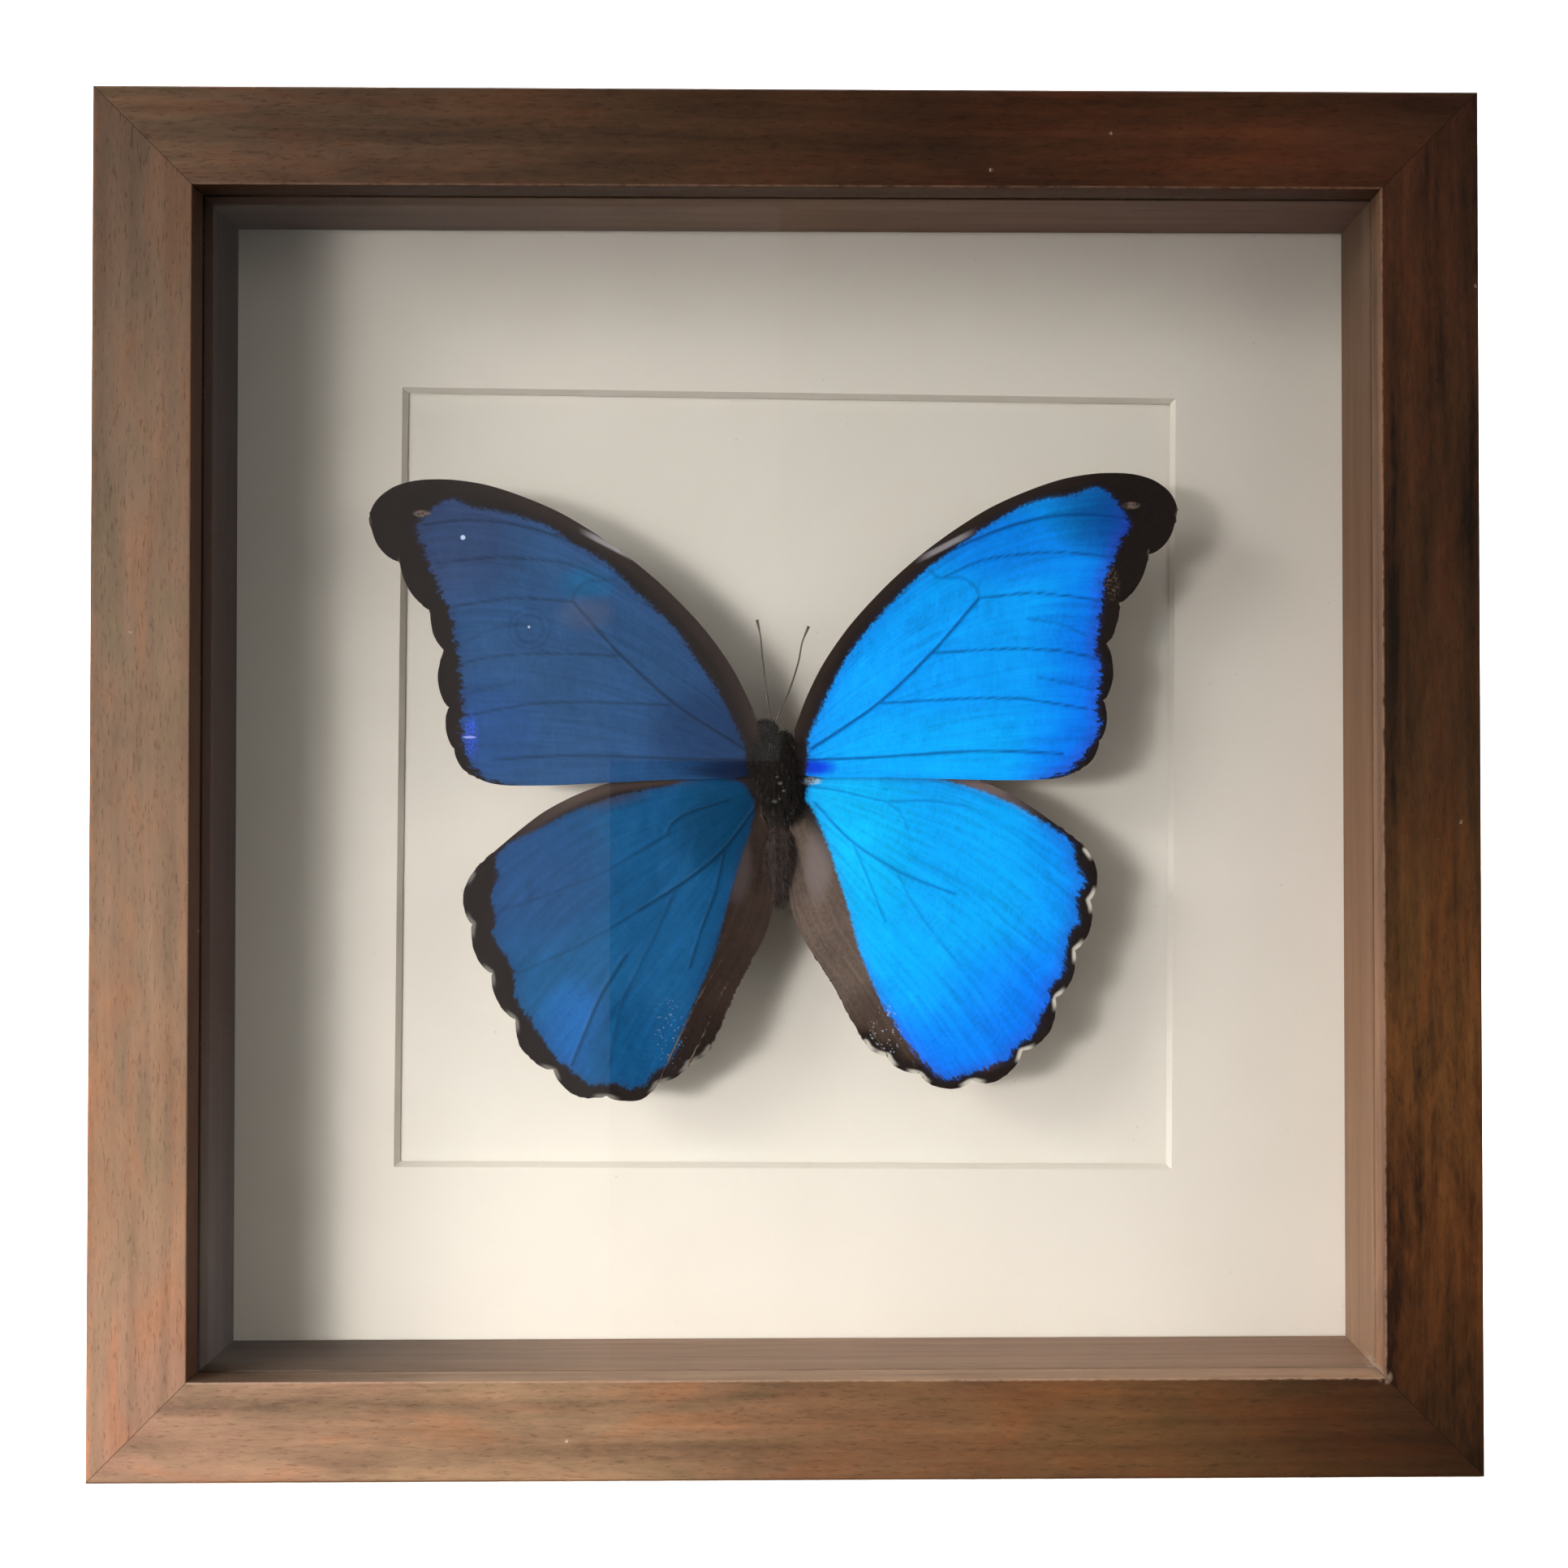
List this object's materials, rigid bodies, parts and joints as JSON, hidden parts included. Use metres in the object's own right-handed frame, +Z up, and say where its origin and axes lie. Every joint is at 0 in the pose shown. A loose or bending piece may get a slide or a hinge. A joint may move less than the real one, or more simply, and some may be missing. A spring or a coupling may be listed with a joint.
{
  "type": "framed butterfly specimen",
  "caption": "Square wooden shadow box with a glass front, holding a spread blue butterfly in front of a window mat.",
  "frame": {"origin": "middle of the underside of the bottom rail, which is the face the box stands on", "axes": "+Z up, +X to the right of someone facing the glass, +Y from the glass towards the back; the glazed front faces -Y"},
  "size_m": [0.25, 0.0421, 0.25],
  "materials": {
    "walnut": "stained and waxed, open grain",
    "fillet": "stained, matt",
    "glass": "clear picture glass",
    "mat_board": "matt cream",
    "hardboard": "smooth brown hardboard",
    "steel": "plain bright steel",
    "wing": "iridescent blue scales with black-brown borders",
    "insect_body": "dark hairy cuticle",
    "cork": "matt cork"
  },
  "bodies": {
    "root": {"frame_rail_top": "walnut", "frame_rail_right": "walnut", "frame_rail_bottom": "walnut", "frame_rail_left": "walnut", "glass_pane": "glass", "spacer_top": "fillet", "spacer_right": "fillet", "spacer_bottom": "fillet", "spacer_left": "fillet", "window_mat": "mat_board", "mount_card": "mat_board", "backboard": "hardboard", "flex_tab_top_1": "steel", "flex_tab_top_2": "steel", "flex_tab_right_1": "steel", "flex_tab_right_2": "steel", "flex_tab_bottom_1": "steel", "flex_tab_bottom_2": "steel", "flex_tab_left_1": "steel", "flex_tab_left_2": "steel", "sawtooth_hanger": "steel", "hanger_nail_left": "steel", "hanger_nail_right": "steel", "forewing_left": "wing", "forewing_right": "wing", "hindwing_left": "wing", "hindwing_right": "wing", "head": "insect_body", "thorax": "insect_body", "abdomen": "insect_body", "antenna_left": "insect_body", "antenna_right": "insect_body", "cork_post": "cork"}
  },
  "joints": []
}
